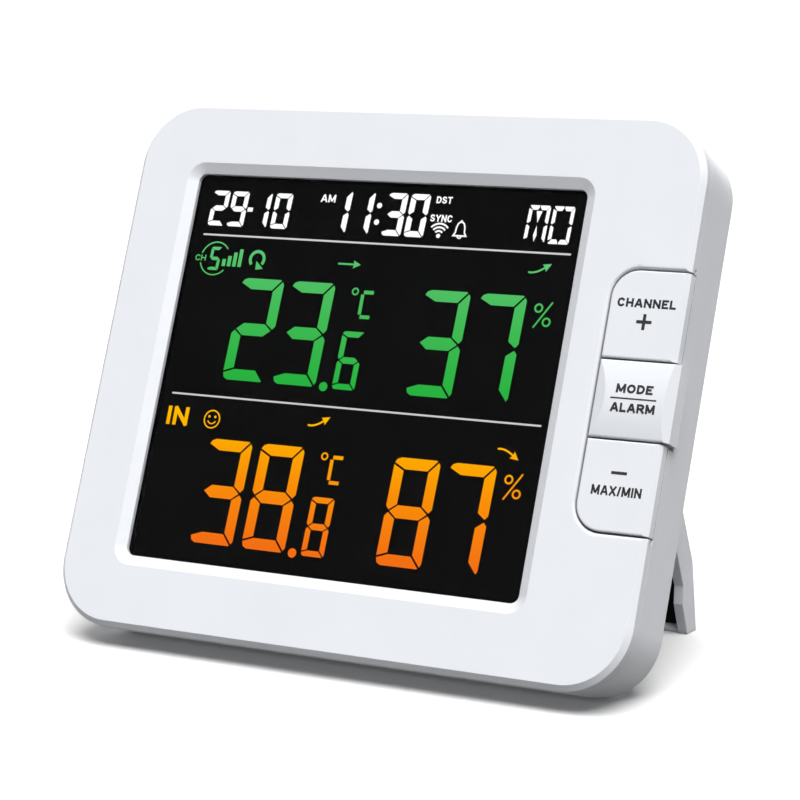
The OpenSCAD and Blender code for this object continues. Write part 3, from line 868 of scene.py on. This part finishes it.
@dataclass(frozen=True)
class DigitStyle:
    """Size and manner of a row of seven-bar digits."""

    width: float
    height: float
    stroke: float
    gap: float
    slant: float = 1.2

    @property
    def shear(self) -> float:
        """How far the digit leans over for each unit of height."""
        return math.tan(math.radians(self.slant))

    def outline(self, bar: Segment) -> Outline:
        """Gives a bar's shape, anticlockwise, with the digit's lower left corner at 0, 0.

        Args:
            bar: Which of the seven bars.

        Returns:
            Its corners, already drawn in by half the gap.
        """
        w, h, t, m = self.width, self.height, self.stroke, self.height / 2
        shapes: dict[Segment, Outline] = {
            Segment.TOP: [(0, h - 0.5 * t), (t, h - t), (w - t, h - t), (w - 0.2 * t, h - 0.1 * t),
                          (w - 0.4 * t, h), (0.6 * t, h), (0.22 * t, h - 0.14 * t)],
            Segment.UPPER_RIGHT: [(w - t, h - t), (w - t, m + 0.5 * t), (w - 0.3 * t, m),
                                  (w, m + 0.35 * t), (w, h - 0.42 * t), (w - 0.2 * t, h - 0.1 * t)],
            Segment.MIDDLE: [(0.3 * t, m), (t, m - 0.55 * t), (w - t, m - 0.55 * t), (w - 0.3 * t, m),
                             (w - t, m + 0.55 * t), (t, m + 0.55 * t)],
            Segment.UPPER_LEFT: [(0, h - 0.5 * t), (0, m + 0.35 * t), (0.3 * t, m), (t, m + 0.5 * t),
                                 (t, h - t)],
            Segment.LOWER_RIGHT: [(w - t, t), (w - 0.2 * t, 0.1 * t), (w, 0.42 * t), (w, m - 0.35 * t),
                                  (w - 0.3 * t, m), (w - t, m - 0.5 * t)],
            Segment.LOWER_LEFT: [(0, 0.65 * t), (t, t), (t, m - 0.5 * t), (0.3 * t, m),
                                 (0, m - 0.35 * t)],
            Segment.BOTTOM: [(0, 0.65 * t), (0.14 * t, 0.2 * t), (0.5 * t, 0), (w - 0.4 * t, 0),
                             (w - 0.2 * t, 0.1 * t), (w - t, t), (t, t)],
        }
        return [(x + z * self.shear, z) for x, z in inset(shapes[bar], self.gap / 2)]

    def draw(self, sheet: Artwork, row: Row, base: float) -> None:
        """Draws a row of digits on a sheet.

        Args:
            sheet: Where it is drawn.
            row: Each figure with its left edge.
            base: Height of the digits' foot.
        """
        for digit, left in row:
            for bar in Segment:
                if bar.value in DIGITS[digit]:
                    sheet.polygon([(left + x, base + z) for x, z in self.outline(bar)])


@dataclass
class Display:
    """Lens, black ground and lit artwork. Artwork is placed from the middle of the opening."""

    finishes: Finishes
    shift_x: float = -4.92
    sunk: float = 0.02
    big: DigitStyle = DigitStyle(11.85, 24.7, 3.05, 0.46)
    small: DigitStyle = DigitStyle(6.2, 13.8, 1.65, 0.32)
    date: DigitStyle = DigitStyle(4.7, 8.7, 1.35, 0.2, 2.0)
    clock: DigitStyle = DigitStyle(5.2, 10.3, 1.6, 0.22, 2.0)
    day_style: DigitStyle = DigitStyle(5.4, 8.6, 1.05, 0.22, 2.0)
    channel: DigitStyle = DigitStyle(3.0, 5.7, 0.85, 0.1, 3.0)
    line: float = 0.42
    rules: tuple[float, float] = (31.6, -6.75)
    rule_ends: tuple[float, float] = (-48.0, 47.3)
    date_z: float = 33.75
    clock_z: float = 33.5
    outdoor_z: float = -2.75
    indoor_z: float = -41.0
    sheets: dict[str, Artwork] = field(default_factory=dict)

    def build(self) -> None:
        """Builds the whole display."""
        f = self.finishes
        moulded("display_lens", f.lens)
        moulded("lcd_glass", f.ground)
        front = SPACE.node_box("lcd_glass")[0].y
        for name in ("white", "grey", "green", "amber"):
            self.sheets[name] = Artwork(lambda x, z: front - self.sunk, shift_x=self.shift_x)
        self.top_row()
        self.outdoor_row()
        self.indoor_row()
        for name, piece, finish, slot in (("white", "artwork_white", f.white, "art_white"),
                                          ("grey", "artwork_lines", f.grey, "art_white"),
                                          ("green", "artwork_green", f.green, "art_green"),
                                          ("amber", "artwork_amber", f.amber, "art_amber")):
            self.sheets[name].finish(piece, finish, slot, "case")

    def top_row(self) -> None:
        """Draws the date, the time, the day and the white icons."""
        sheet = self.sheets["white"]
        for z in self.rules:
            self.sheets["grey"].ribbon([(x, z) for x in self.rule_ends], self.line)
        self.date.draw(sheet, (("2", -47.6), ("9", -42.3), ("1", -36.0), ("0", -30.4)), self.date_z)
        sheet.ribbon([(-37.2, 38.1), (-35.8, 38.1)], 1.0)
        self.clock.draw(sheet, (("1", -15.2), ("1", -9.25), ("3", -0.75), ("0", 5.05)), self.clock_z)
        for z in (36.65, 40.55):
            sheet.disc((-2.35, z), 0.65)
        for text, low, high in (("AM", (-17.95, 40.75), (-14.1, 42.6)),
                                ("DST", (12.0, 41.75), (16.0, 43.35)),
                                ("SYNC", (11.25, 37.45), (16.8, 39.1))):
            sheet.words(text, low, high, 0.2)
        self.signal()
        self.bell()
        self.day()

    def signal(self) -> None:
        """Draws the radio signal as a dot and three arcs."""
        sheet = self.sheets["white"]
        hub = (14.0, 34.2)
        sheet.disc(hub, 0.5)
        for radius in (1.15, 2.0, 2.85):
            sheet.ribbon(arc(hub, radius, 42, 138, 14), self.line)

    def bell(self) -> None:
        """Draws the alarm bell as a line."""
        sheet = self.sheets["white"]
        x, z = 19.3, 34.45
        side = [(-1.6, 0.0), (-1.15, 0.75), (-1.05, 1.9), (-0.75, 2.8), (-0.25, 3.2)]
        dome = side + [(-px, pz) for px, pz in reversed(side)]
        sheet.ribbon([(x + px, z + pz) for px, pz in dome], 0.36, closed=True)
        sheet.ribbon(arc((x, z - 0.05), 0.5, 190, 350, 8), 0.3)
        sheet.disc((x, z + 3.45), 0.22)

    def day(self) -> None:
        """Draws the day as two large letters in bars."""
        sheet = self.sheets["white"]
        style = self.day_style
        w, h, t, low = style.width, style.height, style.stroke, self.date_z
        half = [(0.25 * t, h - 0.15 * t), (t, h - t), (w / 2 - 0.5, h - t), (w / 2 - 0.12, h - 0.4 * t),
                (w / 2 - 0.12, h), (0.5 * t, h)]
        other = [(w - x, z) for x, z in reversed(half)]
        middle = [[(w / 2, h / 2 + 0.3), (w / 2 + 0.7, h - 1.25 * t), (w / 2 - 0.7, h - 1.25 * t)],
                  [(w / 2, 0.3), (w / 2 + 0.42, 1.8), (w / 2, h / 2 - 0.35), (w / 2 - 0.42, 1.8)]]
        feet = [[(w - x, h - z) for x, z in shape] for shape in (half, other)]
        posts = [style.outline(bar) for bar in (Segment.UPPER_LEFT, Segment.UPPER_RIGHT,
                                                Segment.LOWER_LEFT, Segment.LOWER_RIGHT)]
        for left, shapes in ((35.05, [half, other, *middle]), (40.95, [half, other, *feet])):
            leaned = [[(x + z * style.shear, z) for x, z in shape] for shape in shapes]
            for shape in leaned + posts:
                sheet.polygon([(left + x, low + z) for x, z in shape])

    def trend(self, sheet: Artwork, start: Point, end: Point, sag: float) -> None:
        """Draws a trend arrow with a curved shaft.

        Args:
            sheet: Where it is drawn.
            start: The tail.
            end: The tip of the head.
            sag: How far the shaft's middle lies below a straight line.
        """
        steps, reach, curl = 8, 0.78, 1.6 if sag else 1.0
        shaft = []
        for i in range(steps + 1):
            s = i / steps * reach
            drop = sag * 4 * (s / reach) * (1 - s / reach) * 0.8
            rise = (end[1] - start[1]) * s ** curl
            shaft.append((start[0] + (end[0] - start[0]) * s, start[1] + rise - drop))
        sheet.ribbon(shaft, self.line)
        length, half, notch = 2.0, 0.95, 0.25
        along = unit(end[0] - shaft[-2][0], end[1] - shaft[-2][1])
        across = (-along[1], along[0])
        root = (end[0] - along[0] * length, end[1] - along[1] * length)
        head = [end, (root[0] + across[0] * half, root[1] + across[1] * half),
                (root[0] + along[0] * notch, root[1] + along[1] * notch),
                (root[0] - across[0] * half, root[1] - across[1] * half)]
        sheet.polygon(head)

    def unit_signs(self, sheet: Artwork, top: float) -> None:
        """Draws the degree sign, the C and the percent sign of a row.

        Args:
            sheet: Where they are drawn.
            top: Height of the row's digits' top.
        """
        sheet.ring((-4.45, top - 1.75), 0.72, 0.38)
        for z in (top - 1.8, top - 7.55):
            sheet.ribbon([(-2.2, z), (0.35, z)], 0.85)
        sheet.ribbon([(-2.4, top - 2.35), (-2.4, top - 7.0)], 0.85)
        for x, z in ((41.85, top - 2.75), (44.2, top - 5.8)):
            sheet.ring((x, z), 0.85, 0.42)
        sheet.ribbon([(45.0, top - 1.3), (41.2, top - 7.2)], 0.38)

    def reading(self, sheet: Artwork, base: float, figures: Row, small: str) -> None:
        """Draws a row's temperature and humidity.

        Args:
            sheet: Where they are drawn.
            base: Height of the digits' foot.
            figures: Each large figure with its left edge.
            small: The figure after the point.
        """
        self.big.draw(sheet, figures, base)
        self.small.draw(sheet, ((small, -6.15),), base)
        sheet.disc((-8.2, base + 0.5), 1.08)
        self.unit_signs(sheet, base + self.big.height)

    def outdoor_row(self) -> None:
        """Draws the green reading with its channel and its trends."""
        sheet = self.sheets["green"]
        self.reading(sheet, self.outdoor_z, (("2", -35.6), ("3", -21.95), ("3", 12.7), ("7", 26.6)), "6")
        self.channel_icons()
        self.trend(sheet, (-10.3, 26.45), (-4.3, 26.45), 0.0)
        self.trend(sheet, (37.8, 27.15), (43.2, 29.25), 0.35)

    def channel_icons(self) -> None:
        """Draws the ringed channel, the signal's bars and the loop."""
        sheet = self.sheets["green"]
        centre = (-43.55, 25.9)
        for start, end in ((38, 163), (197, 318)):
            sheet.ribbon(arc(centre, 3.95, start, end, 24), 0.3)
        sheet.words("CH", (-48.95, 25.2), (-46.05, 26.65), 0.18)
        self.channel.draw(sheet, (("5", -45.2),), 23.05)
        left, foot, pitch, wide = -41.4, 24.2, 1.45, 0.95
        for i, height in enumerate((1.7, 2.5, 3.4, 4.25)):
            x = left + pitch * i
            top = foot + height
            sheet.polygon([(x, foot), (x + wide, foot), (x + wide, top), (x, top)])
        x, z = -32.0, 26.3
        sheet.ribbon(arc((x, z), 1.85, 224, -38, 26), 0.75)
        sheet.polygon([(x - 0.1, z - 0.4), (x, z - 2.5), (x + 2.0, z - 2.2)])

    def indoor_row(self) -> None:
        """Draws the amber reading with its room name and comfort icons."""
        sheet = self.sheets["amber"]
        self.reading(sheet, self.indoor_z, (("3", -35.8), ("8", -21.95), ("8", 12.75), ("7", 26.55)), "8")
        sheet.words("IN", (-48.2, -14.2), (-42.4, -9.85), 0.22)
        face = (-35.85, -12.1)
        sheet.ring(face, 2.05, 0.32)
        for side in (-1, 1):
            sheet.disc((face[0] + side * 0.8, face[1] + 0.6), 0.3)
        sheet.ribbon(arc((face[0], face[1] + 0.1), 1.15, 205, 335, 12), 0.28)
        self.trend(sheet, (-10.3, -11.3), (-4.85, -9.1), 0.35)
        self.trend(sheet, (37.95, -12.6), (43.3, -14.7), -0.35)


# ---- casing, keys, stand


@dataclass
class Casing:
    """The two shells and their screws."""

    finishes: Finishes

    def build(self) -> None:
        """Builds the casing."""
        f = self.finishes
        moulded("front_shell", f.shell)
        moulded("rear_shell", f.shell)
        moulded("case_screws", f.steel)


@dataclass
class Keys:
    """The three keys at the right edge, with their printed legends.

    Only the edges in front of face_depth and left of chamfer_x are rounded.
    """

    finishes: Finishes
    sunk: float = 0.005
    weight: float = 0.245
    thin: float = 0.21
    rounding: float = 0.4
    face_depth: float = 0.3
    chamfer_x: float = 70.5

    def build(self) -> None:
        """Builds the keys and their legends."""
        f = self.finishes
        for name in ("key_up", "key_mode", "key_down"):
            moulded(name, f.keys, body=name, rounding=self.rounding, steps=3,
                    where=lambda middle: middle.y < self.face_depth and middle.x < self.chamfer_x)
        self.upper_legend()
        self.middle_legend()
        self.lower_legend()

    def upper_legend(self) -> None:
        """Prints the upper key's word and plus sign."""
        sheet = Artwork(self.level)
        sheet.words("CHANNEL", (56.8, 20.0), (70.3, 21.95), self.weight)
        x, z, arm, half = 63.6, 16.9, 1.75, 0.36
        sheet.ribbon([(x - arm, z), (x + arm, z)], 2 * half)
        for side in (-1, 1):
            sheet.ribbon([(x, z + side * half), (x, z + side * arm)], 2 * half)
        sheet.finish("legend_channel", self.finishes.ink, "ink_dark", "key_up")

    def level(self, x: float, z: float) -> float:
        """Gives the depth of the upper and lower keys' flat faces."""
        return self.sunk

    def crown(self, x: float, z: float) -> float:
        """Gives the depth of the middle key's crowned face.

        Args:
            x: Place across the key, which makes no difference.
            z: Height.

        Returns:
            The face's Y, a little behind its surface.
        """
        low, high = SPACE.node_box("key_mode")
        rise = -low.y
        half = (high.z - low.z) / 2
        radius = (half * half + rise * rise) / (2 * rise)
        return radius - rise - math.sqrt(radius * radius - (z - (low.z + high.z) / 2) ** 2) + self.sunk

    def middle_legend(self) -> None:
        """Prints the middle key's two words and the line between them."""
        sheet = Artwork(self.crown, 0.07)
        sheet.words("MODE", (60.25, 1.15), (68.65, 3.1), self.weight)
        sheet.words("ALARM", (59.6, -2.95), (69.7, -1.0), self.weight)
        sheet.ribbon([(59.25, 0.0), (69.75, 0.0)], 0.28)
        sheet.finish("legend_mode", self.finishes.ink, "ink_dark", "key_mode")

    def lower_legend(self) -> None:
        """Prints the lower key's minus sign and word."""
        sheet = Artwork(self.level)
        sheet.ribbon([(61.9, -15.85), (65.5, -15.85)], 0.65)
        sheet.words("MAX/MIN", (58.0, -20.8), (69.5, -18.7), self.thin)
        sheet.finish("legend_max_min", self.finishes.ink, "ink_dark", "key_down")


@dataclass
class Stand:
    """The fold-out stand, its black pad standing in for the shade inside it, and its pins."""

    finishes: Finishes

    def build(self) -> None:
        """Builds the stand."""
        f = self.finishes
        moulded("stand", f.shell, body="stand", rounding=0.4, steps=3)
        # painted shade: a black pad darkens the stand's inside, where there is only shade
        moulded("stand_pad", f.foam_and_painted_shade, body="stand")
        moulded("hinge_pins", f.steel, body="stand")


@dataclass
class BatteryBay:
    """The door, the cells and their contacts."""

    finishes: Finishes

    def build(self) -> None:
        """Builds the battery bay."""
        f = self.finishes
        moulded("battery_door", f.shell, body="battery_door", rounding=0.2)
        moulded("battery_cells", f.wrap, rounding=0.3)
        moulded("battery_contacts", f.nickel)
        moulded("battery_springs", f.nickel)


@dataclass
class Electronics:
    """Everything else inside the case."""

    finishes: Finishes

    def build(self) -> None:
        """Builds the inner pieces."""
        f = self.finishes
        plan = {
            "lens_tape": (f.foam_and_painted_shade, "tape_black"),
            "light_guide": (f.guide, "guide_clear"),
            "backlight_leds": (f.phosphor, "led_yellow"),
            "lcd_bracket": (f.bracket, "bracket_white"),
            "contact_strip": (f.rubber, "strip_rubber"),
            "main_board": (f.board, "board_green"),
            "controller_chip": (f.black, "chip_black"),
            "radio_module": (f.steel, "can_steel"),
            "antenna_wire": (f.copper, "copper_wire"),
            "buzzer": (f.black, "chip_black"),
            "climate_sensor": (f.board, "board_green"),
            "power_inlet": (f.steel, "can_steel"),
            "tact_switches": (f.black, "switch_black"),
            "board_screws": (f.steel, "screw_steel"),
        }
        for node, (material, slot) in plan.items():
            moulded(node, material)


# ---- studio


@dataclass(frozen=True)
class SoftLight:
    """A large, far softbox, given by its direction, spread in degrees and strength."""

    name: str
    place: tuple[float, float, float]
    spread: float
    strength: float

    def build(self) -> None:
        """Adds the light, aimed at the thermometer."""
        lamp = bpy.data.lights.new(self.name, "SUN")
        lamp.energy = self.strength
        lamp.angle = math.radians(self.spread)
        piece = bpy.data.objects.new(self.name, lamp)
        piece.location = self.place
        piece.rotation_euler = (-Vector(self.place)).to_track_quat("-Z", "Y").to_euler()
        bpy.context.scene.collection.objects.link(piece)


@dataclass
class Studio:
    """Floor, sky, lights and camera.

    The camera's place is measured from a point near the display's middle. That point lies aside
    of the middle and behind the case's front face by so many millimetres.
    """

    eye: tuple[float, float, float] = (294.27, -504.97, 88.30)
    aside: float = 0.35
    behind: float = 1.4
    azimuth: float = 29.18
    elevation: float = 9.08
    lens: float = 119.08
    sensor: float = 36.0
    sky: float = 0.16
    floor_reach: float = 60.0
    lights: tuple[SoftLight, ...] = (SoftLight("key_light", (0.26, -0.38, 0.88), 45.0, 4.2),
                                     SoftLight("back_light", (-0.45, 0.88, 0.15), 60.0, 1.8))

    def build(self) -> None:
        """Builds the studio."""
        self.floor()
        self.world()
        self.camera()
        for light in self.lights:
            light.build()
        bpy.context.scene.view_settings.view_transform = "Standard"

    def floor(self) -> None:
        """Lays a wide pale floor, which throws no light back up."""
        reach = self.floor_reach
        mesh = bpy.data.meshes.new("studio_floor")
        mesh.from_pydata([(-reach, -reach, 0), (reach, -reach, 0), (reach, reach, 0), (-reach, reach, 0)],
                         [], [(0, 1, 2, 3)])
        nodes = Nodes("pale_floor")
        nodes.drive("Base Color", nodes.ramp(nodes.noise(3.0), [(NOISE_LOW, (0.95, 0.95, 0.95)),
                                                                (NOISE_HIGH, (0.97, 0.97, 0.97))]))
        nodes.set(Roughness=0.9, Specular_IOR_Level=0.1)
        piece = new_object("studio_floor", mesh, nodes.material)
        piece.visible_diffuse = False

    def world(self) -> None:
        """Fills the room with even white light."""
        world = bpy.data.worlds.new("studio_sky")
        world.use_nodes = True
        background = next(node for node in world.node_tree.nodes if node.type == "BACKGROUND")
        background.inputs["Color"].default_value = (1.0, 1.0, 1.0, 1.0)
        background.inputs["Strength"].default_value = self.sky
        bpy.context.scene.world = world

    def camera(self) -> None:
        """Places the camera in front, to the right and a little above."""
        low, high = SPACE.node_box("lcd_glass")
        middle = SPACE.place((low.x + high.x) / 2 + self.aside, self.behind, 0.0)
        camera = bpy.data.cameras.new("camera")
        camera.lens = self.lens
        camera.sensor_width = self.sensor
        camera.clip_start = 0.01
        piece = bpy.data.objects.new("camera", camera)
        piece.location = middle + Vector(self.eye) * MM
        piece.rotation_euler = (math.radians(90.0 - self.elevation), 0.0, math.radians(self.azimuth))
        bpy.context.scene.collection.objects.link(piece)
        bpy.context.scene.camera = piece


def main() -> None:
    """Builds the thermometer and its studio."""
    logging.basicConfig(level=logging.INFO, format="%(name)s: %(message)s")
    Studio().build()
    finishes = Finishes.make()
    for assembly in (Casing(finishes), Display(finishes), Keys(finishes), Stand(finishes),
                     BatteryBay(finishes), Electronics(finishes)):
        assembly.build()
        LOG.info("%s built", type(assembly).__name__)


if __name__ == "__main__":
    main()
